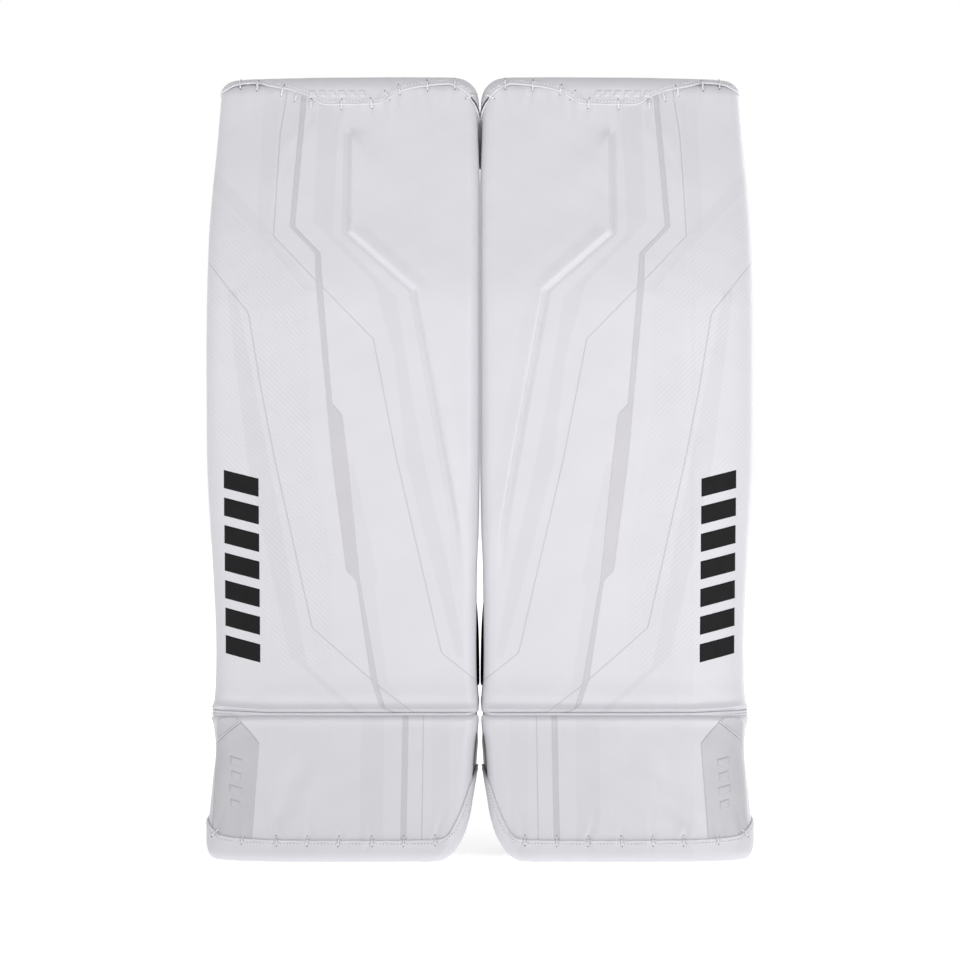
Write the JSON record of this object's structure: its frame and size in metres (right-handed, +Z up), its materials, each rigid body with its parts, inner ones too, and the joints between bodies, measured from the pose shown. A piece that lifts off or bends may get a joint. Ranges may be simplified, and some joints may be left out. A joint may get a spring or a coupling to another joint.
{
  "type": "ice hockey goalie leg pads",
  "caption": "Pair of white leather-faced goalie leg pads with foam cores, knee blocks, folding calf wings, straps and flexing boots.",
  "frame": {"origin": "on the floor, midway between the two pads, at the centre of the pair's box", "axes": "+Z up along the pads, -Y the way the strike faces look, +X towards the wearer's left pad"},
  "size_m": [0.566, 0.181, 0.805],
  "materials": {
    "white_leather": "satin synthetic leather with a fine grain",
    "black_leather": "matte synthetic leather",
    "grey_leather": "satin synthetic leather inlay",
    "black_nylon": "woven nylon",
    "black_webbing": "ribbed webbing",
    "white_lace": "waxed lacing cord and thread",
    "core_foam": "closed-cell foam",
    "stiffener_plastic": "plain sheet"
  },
  "bodies": {
    "left_shin": {"left_shin_cover": "white_leather", "left_shin_core": "core_foam", "left_outer_roll": "core_foam", "left_stiffener_board": "stiffener_plastic", "left_back_panel": "black_nylon", "left_top_cap": "white_leather", "left_top_lacing": "white_lace", "left_calf_landing": "black_nylon", "left_knee_block_base": "white_leather", "left_knee_block_middle": "black_nylon", "left_knee_block_landing": "white_leather", "left_break_gusset": "black_nylon"},
    "left_boot": {"left_boot_cover": "white_leather", "left_boot_core": "core_foam", "left_boot_back_panel": "black_nylon", "left_bottom_cap": "white_leather", "left_bottom_lacing": "white_lace", "left_inner_boot_wing": "black_leather", "left_outer_boot_wing": "black_leather", "left_toe_bridge": "black_leather"},
    "left_knee_wing": {"left_knee_wing": "black_nylon"},
    "left_knee_strap": {"left_knee_strap": "black_webbing", "left_knee_strap_tab": "black_leather"},
    "left_outer_calf_wing": {"left_outer_calf_wing": "black_nylon"},
    "left_inner_calf_wing": {"left_inner_calf_wing": "black_nylon"},
    "left_upper_calf_strap": {"left_upper_calf_strap": "black_webbing", "left_upper_calf_strap_tab": "black_leather"},
    "left_lower_calf_strap": {"left_lower_calf_strap": "black_webbing", "left_lower_calf_strap_tab": "black_leather"},
    "left_boot_strap": {"left_boot_strap": "black_webbing"},
    "right_shin": {"right_shin_cover": "white_leather", "right_shin_core": "core_foam", "right_outer_roll": "core_foam", "right_stiffener_board": "stiffener_plastic", "right_back_panel": "black_nylon", "right_top_cap": "white_leather", "right_top_lacing": "white_lace", "right_calf_landing": "black_nylon", "right_knee_block_base": "white_leather", "right_knee_block_middle": "black_nylon", "right_knee_block_landing": "white_leather", "right_break_gusset": "black_nylon"},
    "right_boot": {"right_boot_cover": "white_leather", "right_boot_core": "core_foam", "right_boot_back_panel": "black_nylon", "right_bottom_cap": "white_leather", "right_bottom_lacing": "white_lace", "right_inner_boot_wing": "black_leather", "right_outer_boot_wing": "black_leather", "right_toe_bridge": "black_leather"},
    "right_knee_wing": {"right_knee_wing": "black_nylon"},
    "right_knee_strap": {"right_knee_strap": "black_webbing", "right_knee_strap_tab": "black_leather"},
    "right_outer_calf_wing": {"right_outer_calf_wing": "black_nylon"},
    "right_inner_calf_wing": {"right_inner_calf_wing": "black_nylon"},
    "right_upper_calf_strap": {"right_upper_calf_strap": "black_webbing", "right_upper_calf_strap_tab": "black_leather"},
    "right_lower_calf_strap": {"right_lower_calf_strap": "black_webbing", "right_lower_calf_strap_tab": "black_leather"},
    "right_boot_strap": {"right_boot_strap": "black_webbing"}
  },
  "joints": [
    {"name": "pads_apart", "type": "slide", "parent": "right_shin", "child": "left_shin", "axis": [1, 0, 0], "range_m": [0, 0.3]},
    {"name": "left_boot_flex", "type": "hinge", "parent": "left_shin", "child": "left_boot", "pos_m": [0.1415, -0.0555, 0.148], "axis": [-1, 0, 0], "range_deg": [-8, 14], "stiffness_Nm_per_rad": 90},
    {"name": "left_knee_wing_fold", "type": "hinge", "parent": "left_shin", "child": "left_knee_wing", "pos_m": [0.2695, 0.0055, 0.494], "axis": [0, 0, -1], "range_deg": [0, 60]},
    {"name": "left_outer_calf_wing_fold", "type": "hinge", "parent": "left_shin", "child": "left_outer_calf_wing", "pos_m": [0.2695, 0.0055, 0.3], "axis": [0, 0, -1], "range_deg": [0, 60]},
    {"name": "left_inner_calf_wing_fold", "type": "hinge", "parent": "left_shin", "child": "left_inner_calf_wing", "pos_m": [0.0155, 0.035, 0.3], "axis": [0, 0, -1], "range_deg": [0, 20]},
    {"name": "left_knee_strap_open", "type": "hinge", "parent": "left_knee_wing", "child": "left_knee_strap", "pos_m": [0.2475, 0.0682, 0.495], "axis": [0, 0, -1], "range_deg": [0, 105]},
    {"name": "left_upper_calf_strap_open", "type": "hinge", "parent": "left_outer_calf_wing", "child": "left_upper_calf_strap", "pos_m": [0.2475, 0.0872, 0.351], "axis": [0, 0, -1], "range_deg": [0, 105]},
    {"name": "left_lower_calf_strap_open", "type": "hinge", "parent": "left_outer_calf_wing", "child": "left_lower_calf_strap", "pos_m": [0.2475, 0.0872, 0.245], "axis": [0, 0, -1], "range_deg": [0, 105]},
    {"name": "left_boot_strap_open", "type": "hinge", "parent": "left_boot", "child": "left_boot_strap", "pos_m": [0.2195, 0.0477, 0.075], "axis": [0, 0, -1], "range_deg": [0, 105]},
    {"name": "right_boot_flex", "type": "hinge", "parent": "right_shin", "child": "right_boot", "pos_m": [-0.1415, -0.0555, 0.148], "axis": [-1, 0, 0], "range_deg": [-8, 14], "stiffness_Nm_per_rad": 90},
    {"name": "right_knee_wing_fold", "type": "hinge", "parent": "right_shin", "child": "right_knee_wing", "pos_m": [-0.2695, 0.0055, 0.494], "axis": [0, 0, 1], "range_deg": [0, 60]},
    {"name": "right_outer_calf_wing_fold", "type": "hinge", "parent": "right_shin", "child": "right_outer_calf_wing", "pos_m": [-0.2695, 0.0055, 0.3], "axis": [0, 0, 1], "range_deg": [0, 60]},
    {"name": "right_inner_calf_wing_fold", "type": "hinge", "parent": "right_shin", "child": "right_inner_calf_wing", "pos_m": [-0.0155, 0.035, 0.3], "axis": [0, 0, 1], "range_deg": [0, 20]},
    {"name": "right_knee_strap_open", "type": "hinge", "parent": "right_knee_wing", "child": "right_knee_strap", "pos_m": [-0.2475, 0.0682, 0.495], "axis": [0, 0, 1], "range_deg": [0, 105]},
    {"name": "right_upper_calf_strap_open", "type": "hinge", "parent": "right_outer_calf_wing", "child": "right_upper_calf_strap", "pos_m": [-0.2475, 0.0872, 0.351], "axis": [0, 0, 1], "range_deg": [0, 105]},
    {"name": "right_lower_calf_strap_open", "type": "hinge", "parent": "right_outer_calf_wing", "child": "right_lower_calf_strap", "pos_m": [-0.2475, 0.0872, 0.245], "axis": [0, 0, 1], "range_deg": [0, 105]},
    {"name": "right_boot_strap_open", "type": "hinge", "parent": "right_boot", "child": "right_boot_strap", "pos_m": [-0.2195, 0.0477, 0.075], "axis": [0, 0, 1], "range_deg": [0, 105]}
  ]
}
